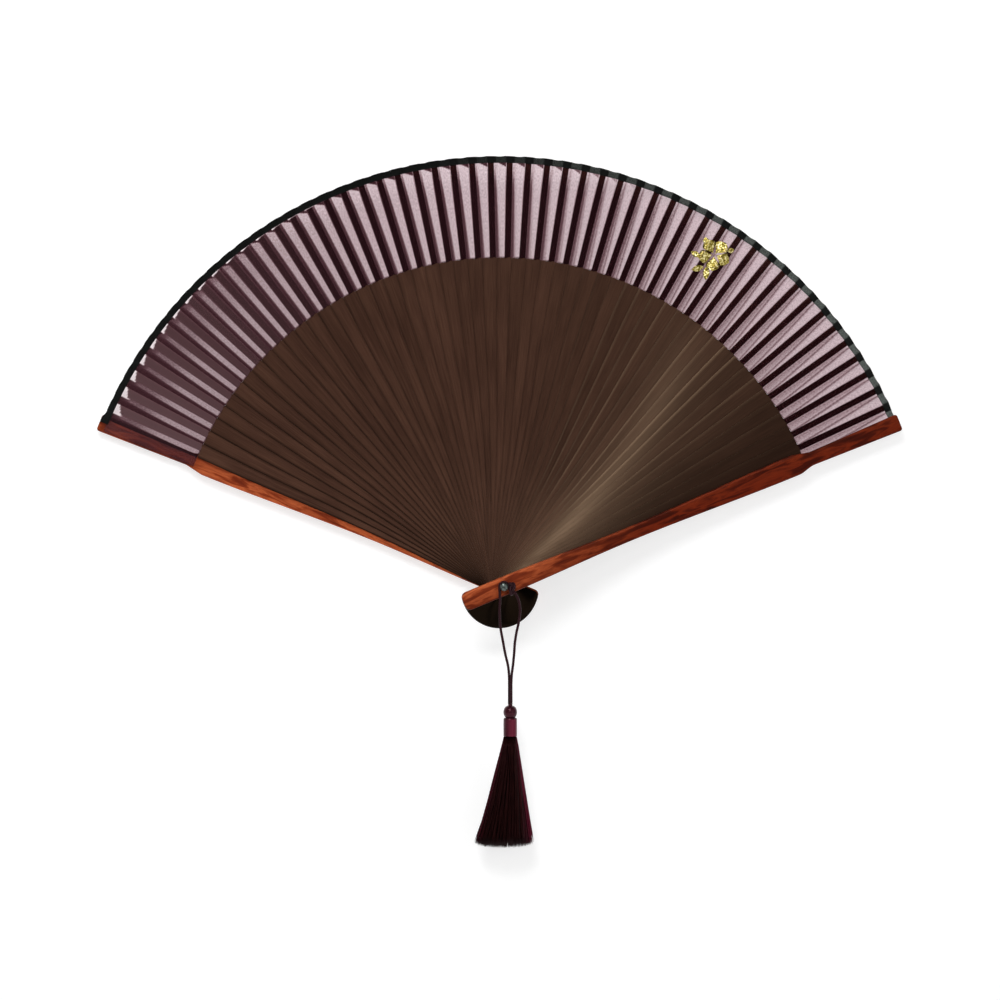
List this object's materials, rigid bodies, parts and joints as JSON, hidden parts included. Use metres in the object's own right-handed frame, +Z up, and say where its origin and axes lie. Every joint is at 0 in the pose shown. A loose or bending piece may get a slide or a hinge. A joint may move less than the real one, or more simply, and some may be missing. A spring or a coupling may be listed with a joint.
{
  "type": "folding fan",
  "caption": "Open folding hand fan: dark bamboo ribs on a rivet between two red-brown guards, pleated sheer silk leaf with a bound edge, and a tassel on a cord loop.",
  "frame": {"origin": "on the rivet's axis, half way through the stack of sticks, where the hand holds the fan", "axes": "+Z up the middle of the open fan, +X to the right seen from the front, +Y from the front guard to the back guard, along the rivet"},
  "size_m": [0.3606, 0.0429, 0.3099],
  "materials": {
    "bamboo": "dark dyed bamboo, satin",
    "rosewood": "red-brown hardwood, polished",
    "silk": "sheer maroon silk",
    "tape": "black silk tape",
    "metal": "dark gunmetal",
    "thread": "glossy maroon rayon thread"
  },
  "bodies": {
    "handle": {"back_guard": "rosewood", "rivet": "metal", "silk_leaf": "silk", "edge_binding": "tape"},
    "front_guard": {"front_guard": "rosewood"},
    "tassel": {"tassel_cord": "thread", "tassel_cap": "thread", "tassel_skirt": "thread"},
    "rib_01": {"rib_01": "bamboo"},
    "rib_02": {"rib_02": "bamboo"},
    "rib_03": {"rib_03": "bamboo"},
    "rib_04": {"rib_04": "bamboo"},
    "rib_05": {"rib_05": "bamboo"},
    "rib_06": {"rib_06": "bamboo"},
    "rib_07": {"rib_07": "bamboo"},
    "rib_08": {"rib_08": "bamboo"},
    "rib_09": {"rib_09": "bamboo"},
    "rib_10": {"rib_10": "bamboo"},
    "rib_11": {"rib_11": "bamboo"},
    "rib_12": {"rib_12": "bamboo"},
    "rib_13": {"rib_13": "bamboo"},
    "rib_14": {"rib_14": "bamboo"},
    "rib_15": {"rib_15": "bamboo"},
    "rib_16": {"rib_16": "bamboo"},
    "rib_17": {"rib_17": "bamboo"},
    "rib_18": {"rib_18": "bamboo"},
    "rib_19": {"rib_19": "bamboo"},
    "rib_20": {"rib_20": "bamboo"},
    "rib_21": {"rib_21": "bamboo"},
    "rib_22": {"rib_22": "bamboo"},
    "rib_23": {"rib_23": "bamboo"},
    "rib_24": {"rib_24": "bamboo"},
    "rib_25": {"rib_25": "bamboo"},
    "rib_26": {"rib_26": "bamboo"},
    "rib_27": {"rib_27": "bamboo"},
    "rib_28": {"rib_28": "bamboo"},
    "rib_29": {"rib_29": "bamboo"},
    "rib_30": {"rib_30": "bamboo"},
    "rib_31": {"rib_31": "bamboo"},
    "rib_32": {"rib_32": "bamboo"},
    "rib_33": {"rib_33": "bamboo"},
    "rib_34": {"rib_34": "bamboo"},
    "rib_35": {"rib_35": "bamboo"},
    "rib_36": {"rib_36": "bamboo"},
    "rib_37": {"rib_37": "bamboo"},
    "rib_38": {"rib_38": "bamboo"},
    "rib_39": {"rib_39": "bamboo"},
    "rib_40": {"rib_40": "bamboo"},
    "rib_41": {"rib_41": "bamboo"},
    "rib_42": {"rib_42": "bamboo"},
    "rib_43": {"rib_43": "bamboo"},
    "rib_44": {"rib_44": "bamboo"},
    "rib_45": {"rib_45": "bamboo"},
    "rib_46": {"rib_46": "bamboo"},
    "rib_47": {"rib_47": "bamboo"},
    "rib_48": {"rib_48": "bamboo"},
    "rib_49": {"rib_49": "bamboo"},
    "rib_50": {"rib_50": "bamboo"},
    "rib_51": {"rib_51": "bamboo"},
    "rib_52": {"rib_52": "bamboo"}
  },
  "joints": [
    {"name": "fan_fold", "type": "hinge", "parent": "handle", "child": "front_guard", "pos_m": [0, 0, 0], "axis": [0, -1, 0], "range_deg": [0, 135.5], "deforming": ["silk_leaf", "edge_binding"]},
    {"name": "rib_01_fold", "type": "hinge", "parent": "handle", "child": "rib_01", "pos_m": [0, 0, 0], "axis": [0, -1, 0], "range_deg": [0, 132.95]},
    {"name": "rib_02_fold", "type": "hinge", "parent": "handle", "child": "rib_02", "pos_m": [0, 0, 0], "axis": [0, -1, 0], "range_deg": [0, 130.39]},
    {"name": "rib_03_fold", "type": "hinge", "parent": "handle", "child": "rib_03", "pos_m": [0, 0, 0], "axis": [0, -1, 0], "range_deg": [0, 127.84]},
    {"name": "rib_04_fold", "type": "hinge", "parent": "handle", "child": "rib_04", "pos_m": [0, 0, 0], "axis": [0, -1, 0], "range_deg": [0, 125.28]},
    {"name": "rib_05_fold", "type": "hinge", "parent": "handle", "child": "rib_05", "pos_m": [0, 0, 0], "axis": [0, -1, 0], "range_deg": [0, 122.72]},
    {"name": "rib_06_fold", "type": "hinge", "parent": "handle", "child": "rib_06", "pos_m": [0, 0, 0], "axis": [0, -1, 0], "range_deg": [0, 120.17]},
    {"name": "rib_07_fold", "type": "hinge", "parent": "handle", "child": "rib_07", "pos_m": [0, 0, 0], "axis": [0, -1, 0], "range_deg": [0, 117.61]},
    {"name": "rib_08_fold", "type": "hinge", "parent": "handle", "child": "rib_08", "pos_m": [0, 0, 0], "axis": [0, -1, 0], "range_deg": [0, 115.05]},
    {"name": "rib_09_fold", "type": "hinge", "parent": "handle", "child": "rib_09", "pos_m": [0, 0, 0], "axis": [0, -1, 0], "range_deg": [0, 112.5]},
    {"name": "rib_10_fold", "type": "hinge", "parent": "handle", "child": "rib_10", "pos_m": [0, 0, 0], "axis": [0, -1, 0], "range_deg": [0, 109.94]},
    {"name": "rib_11_fold", "type": "hinge", "parent": "handle", "child": "rib_11", "pos_m": [0, 0, 0], "axis": [0, -1, 0], "range_deg": [0, 107.38]},
    {"name": "rib_12_fold", "type": "hinge", "parent": "handle", "child": "rib_12", "pos_m": [0, 0, 0], "axis": [0, -1, 0], "range_deg": [0, 104.83]},
    {"name": "rib_13_fold", "type": "hinge", "parent": "handle", "child": "rib_13", "pos_m": [0, 0, 0], "axis": [0, -1, 0], "range_deg": [0, 102.27]},
    {"name": "rib_14_fold", "type": "hinge", "parent": "handle", "child": "rib_14", "pos_m": [0, 0, 0], "axis": [0, -1, 0], "range_deg": [0, 99.71]},
    {"name": "rib_15_fold", "type": "hinge", "parent": "handle", "child": "rib_15", "pos_m": [0, 0, 0], "axis": [0, -1, 0], "range_deg": [0, 97.16]},
    {"name": "rib_16_fold", "type": "hinge", "parent": "handle", "child": "rib_16", "pos_m": [0, 0, 0], "axis": [0, -1, 0], "range_deg": [0, 94.6]},
    {"name": "rib_17_fold", "type": "hinge", "parent": "handle", "child": "rib_17", "pos_m": [0, 0, 0], "axis": [0, -1, 0], "range_deg": [0, 92.04]},
    {"name": "rib_18_fold", "type": "hinge", "parent": "handle", "child": "rib_18", "pos_m": [0, 0, 0], "axis": [0, -1, 0], "range_deg": [0, 89.49]},
    {"name": "rib_19_fold", "type": "hinge", "parent": "handle", "child": "rib_19", "pos_m": [0, 0, 0], "axis": [0, -1, 0], "range_deg": [0, 86.93]},
    {"name": "rib_20_fold", "type": "hinge", "parent": "handle", "child": "rib_20", "pos_m": [0, 0, 0], "axis": [0, -1, 0], "range_deg": [0, 84.37]},
    {"name": "rib_21_fold", "type": "hinge", "parent": "handle", "child": "rib_21", "pos_m": [0, 0, 0], "axis": [0, -1, 0], "range_deg": [0, 81.82]},
    {"name": "rib_22_fold", "type": "hinge", "parent": "handle", "child": "rib_22", "pos_m": [0, 0, 0], "axis": [0, -1, 0], "range_deg": [0, 79.26]},
    {"name": "rib_23_fold", "type": "hinge", "parent": "handle", "child": "rib_23", "pos_m": [0, 0, 0], "axis": [0, -1, 0], "range_deg": [0, 76.7]},
    {"name": "rib_24_fold", "type": "hinge", "parent": "handle", "child": "rib_24", "pos_m": [0, 0, 0], "axis": [0, -1, 0], "range_deg": [0, 74.15]},
    {"name": "rib_25_fold", "type": "hinge", "parent": "handle", "child": "rib_25", "pos_m": [0, 0, 0], "axis": [0, -1, 0], "range_deg": [0, 71.59]},
    {"name": "rib_26_fold", "type": "hinge", "parent": "handle", "child": "rib_26", "pos_m": [0, 0, 0], "axis": [0, -1, 0], "range_deg": [0, 69.03]},
    {"name": "rib_27_fold", "type": "hinge", "parent": "handle", "child": "rib_27", "pos_m": [0, 0, 0], "axis": [0, -1, 0], "range_deg": [0, 66.48]},
    {"name": "rib_28_fold", "type": "hinge", "parent": "handle", "child": "rib_28", "pos_m": [0, 0, 0], "axis": [0, -1, 0], "range_deg": [0, 63.92]},
    {"name": "rib_29_fold", "type": "hinge", "parent": "handle", "child": "rib_29", "pos_m": [0, 0, 0], "axis": [0, -1, 0], "range_deg": [0, 61.36]},
    {"name": "rib_30_fold", "type": "hinge", "parent": "handle", "child": "rib_30", "pos_m": [0, 0, 0], "axis": [0, -1, 0], "range_deg": [0, 58.81]},
    {"name": "rib_31_fold", "type": "hinge", "parent": "handle", "child": "rib_31", "pos_m": [0, 0, 0], "axis": [0, -1, 0], "range_deg": [0, 56.25]},
    {"name": "rib_32_fold", "type": "hinge", "parent": "handle", "child": "rib_32", "pos_m": [0, 0, 0], "axis": [0, -1, 0], "range_deg": [0, 53.69]},
    {"name": "rib_33_fold", "type": "hinge", "parent": "handle", "child": "rib_33", "pos_m": [0, 0, 0], "axis": [0, -1, 0], "range_deg": [0, 51.14]},
    {"name": "rib_34_fold", "type": "hinge", "parent": "handle", "child": "rib_34", "pos_m": [0, 0, 0], "axis": [0, -1, 0], "range_deg": [0, 48.58]},
    {"name": "rib_35_fold", "type": "hinge", "parent": "handle", "child": "rib_35", "pos_m": [0, 0, 0], "axis": [0, -1, 0], "range_deg": [0, 46.02]},
    {"name": "rib_36_fold", "type": "hinge", "parent": "handle", "child": "rib_36", "pos_m": [0, 0, 0], "axis": [0, -1, 0], "range_deg": [0, 43.47]},
    {"name": "rib_37_fold", "type": "hinge", "parent": "handle", "child": "rib_37", "pos_m": [0, 0, 0], "axis": [0, -1, 0], "range_deg": [0, 40.91]},
    {"name": "rib_38_fold", "type": "hinge", "parent": "handle", "child": "rib_38", "pos_m": [0, 0, 0], "axis": [0, -1, 0], "range_deg": [0, 38.35]},
    {"name": "rib_39_fold", "type": "hinge", "parent": "handle", "child": "rib_39", "pos_m": [0, 0, 0], "axis": [0, -1, 0], "range_deg": [0, 35.8]},
    {"name": "rib_40_fold", "type": "hinge", "parent": "handle", "child": "rib_40", "pos_m": [0, 0, 0], "axis": [0, -1, 0], "range_deg": [0, 33.24]},
    {"name": "rib_41_fold", "type": "hinge", "parent": "handle", "child": "rib_41", "pos_m": [0, 0, 0], "axis": [0, -1, 0], "range_deg": [0, 30.68]},
    {"name": "rib_42_fold", "type": "hinge", "parent": "handle", "child": "rib_42", "pos_m": [0, 0, 0], "axis": [0, -1, 0], "range_deg": [0, 28.13]},
    {"name": "rib_43_fold", "type": "hinge", "parent": "handle", "child": "rib_43", "pos_m": [0, 0, 0], "axis": [0, -1, 0], "range_deg": [0, 25.57]},
    {"name": "rib_44_fold", "type": "hinge", "parent": "handle", "child": "rib_44", "pos_m": [0, 0, 0], "axis": [0, -1, 0], "range_deg": [0, 23.01]},
    {"name": "rib_45_fold", "type": "hinge", "parent": "handle", "child": "rib_45", "pos_m": [0, 0, 0], "axis": [0, -1, 0], "range_deg": [0, 20.46]},
    {"name": "rib_46_fold", "type": "hinge", "parent": "handle", "child": "rib_46", "pos_m": [0, 0, 0], "axis": [0, -1, 0], "range_deg": [0, 17.9]},
    {"name": "rib_47_fold", "type": "hinge", "parent": "handle", "child": "rib_47", "pos_m": [0, 0, 0], "axis": [0, -1, 0], "range_deg": [0, 15.34]},
    {"name": "rib_48_fold", "type": "hinge", "parent": "handle", "child": "rib_48", "pos_m": [0, 0, 0], "axis": [0, -1, 0], "range_deg": [0, 12.79]},
    {"name": "rib_49_fold", "type": "hinge", "parent": "handle", "child": "rib_49", "pos_m": [0, 0, 0], "axis": [0, -1, 0], "range_deg": [0, 10.23]},
    {"name": "rib_50_fold", "type": "hinge", "parent": "handle", "child": "rib_50", "pos_m": [0, 0, 0], "axis": [0, -1, 0], "range_deg": [0, 7.67]},
    {"name": "rib_51_fold", "type": "hinge", "parent": "handle", "child": "rib_51", "pos_m": [0, 0, 0], "axis": [0, -1, 0], "range_deg": [0, 5.12]},
    {"name": "rib_52_fold", "type": "hinge", "parent": "handle", "child": "rib_52", "pos_m": [0, 0, 0], "axis": [0, -1, 0], "range_deg": [0, 2.56]},
    {"name": "tassel_swing", "type": "hinge", "parent": "handle", "child": "tassel", "pos_m": [0, 0, 0], "axis": [0, -1, 0], "range_deg": [-60, 60]}
  ],
  "couplings": [
    {"joint": "rib_01_fold", "follows": "fan_fold", "ratio": 0.98113},
    {"joint": "rib_02_fold", "follows": "fan_fold", "ratio": 0.96226},
    {"joint": "rib_03_fold", "follows": "fan_fold", "ratio": 0.9434},
    {"joint": "rib_04_fold", "follows": "fan_fold", "ratio": 0.92453},
    {"joint": "rib_05_fold", "follows": "fan_fold", "ratio": 0.90566},
    {"joint": "rib_06_fold", "follows": "fan_fold", "ratio": 0.88679},
    {"joint": "rib_07_fold", "follows": "fan_fold", "ratio": 0.86792},
    {"joint": "rib_08_fold", "follows": "fan_fold", "ratio": 0.84906},
    {"joint": "rib_09_fold", "follows": "fan_fold", "ratio": 0.83019},
    {"joint": "rib_10_fold", "follows": "fan_fold", "ratio": 0.81132},
    {"joint": "rib_11_fold", "follows": "fan_fold", "ratio": 0.79245},
    {"joint": "rib_12_fold", "follows": "fan_fold", "ratio": 0.77358},
    {"joint": "rib_13_fold", "follows": "fan_fold", "ratio": 0.75472},
    {"joint": "rib_14_fold", "follows": "fan_fold", "ratio": 0.73585},
    {"joint": "rib_15_fold", "follows": "fan_fold", "ratio": 0.71698},
    {"joint": "rib_16_fold", "follows": "fan_fold", "ratio": 0.69811},
    {"joint": "rib_17_fold", "follows": "fan_fold", "ratio": 0.67924},
    {"joint": "rib_18_fold", "follows": "fan_fold", "ratio": 0.66038},
    {"joint": "rib_19_fold", "follows": "fan_fold", "ratio": 0.64151},
    {"joint": "rib_20_fold", "follows": "fan_fold", "ratio": 0.62264},
    {"joint": "rib_21_fold", "follows": "fan_fold", "ratio": 0.60377},
    {"joint": "rib_22_fold", "follows": "fan_fold", "ratio": 0.58491},
    {"joint": "rib_23_fold", "follows": "fan_fold", "ratio": 0.56604},
    {"joint": "rib_24_fold", "follows": "fan_fold", "ratio": 0.54717},
    {"joint": "rib_25_fold", "follows": "fan_fold", "ratio": 0.5283},
    {"joint": "rib_26_fold", "follows": "fan_fold", "ratio": 0.50943},
    {"joint": "rib_27_fold", "follows": "fan_fold", "ratio": 0.49057},
    {"joint": "rib_28_fold", "follows": "fan_fold", "ratio": 0.4717},
    {"joint": "rib_29_fold", "follows": "fan_fold", "ratio": 0.45283},
    {"joint": "rib_30_fold", "follows": "fan_fold", "ratio": 0.43396},
    {"joint": "rib_31_fold", "follows": "fan_fold", "ratio": 0.41509},
    {"joint": "rib_32_fold", "follows": "fan_fold", "ratio": 0.39623},
    {"joint": "rib_33_fold", "follows": "fan_fold", "ratio": 0.37736},
    {"joint": "rib_34_fold", "follows": "fan_fold", "ratio": 0.35849},
    {"joint": "rib_35_fold", "follows": "fan_fold", "ratio": 0.33962},
    {"joint": "rib_36_fold", "follows": "fan_fold", "ratio": 0.32076},
    {"joint": "rib_37_fold", "follows": "fan_fold", "ratio": 0.30189},
    {"joint": "rib_38_fold", "follows": "fan_fold", "ratio": 0.28302},
    {"joint": "rib_39_fold", "follows": "fan_fold", "ratio": 0.26415},
    {"joint": "rib_40_fold", "follows": "fan_fold", "ratio": 0.24528},
    {"joint": "rib_41_fold", "follows": "fan_fold", "ratio": 0.22642},
    {"joint": "rib_42_fold", "follows": "fan_fold", "ratio": 0.20755},
    {"joint": "rib_43_fold", "follows": "fan_fold", "ratio": 0.18868},
    {"joint": "rib_44_fold", "follows": "fan_fold", "ratio": 0.16981},
    {"joint": "rib_45_fold", "follows": "fan_fold", "ratio": 0.15094},
    {"joint": "rib_46_fold", "follows": "fan_fold", "ratio": 0.13207},
    {"joint": "rib_47_fold", "follows": "fan_fold", "ratio": 0.11321},
    {"joint": "rib_48_fold", "follows": "fan_fold", "ratio": 0.09434},
    {"joint": "rib_49_fold", "follows": "fan_fold", "ratio": 0.075472},
    {"joint": "rib_50_fold", "follows": "fan_fold", "ratio": 0.056604},
    {"joint": "rib_51_fold", "follows": "fan_fold", "ratio": 0.037736},
    {"joint": "rib_52_fold", "follows": "fan_fold", "ratio": 0.018868}
  ]
}
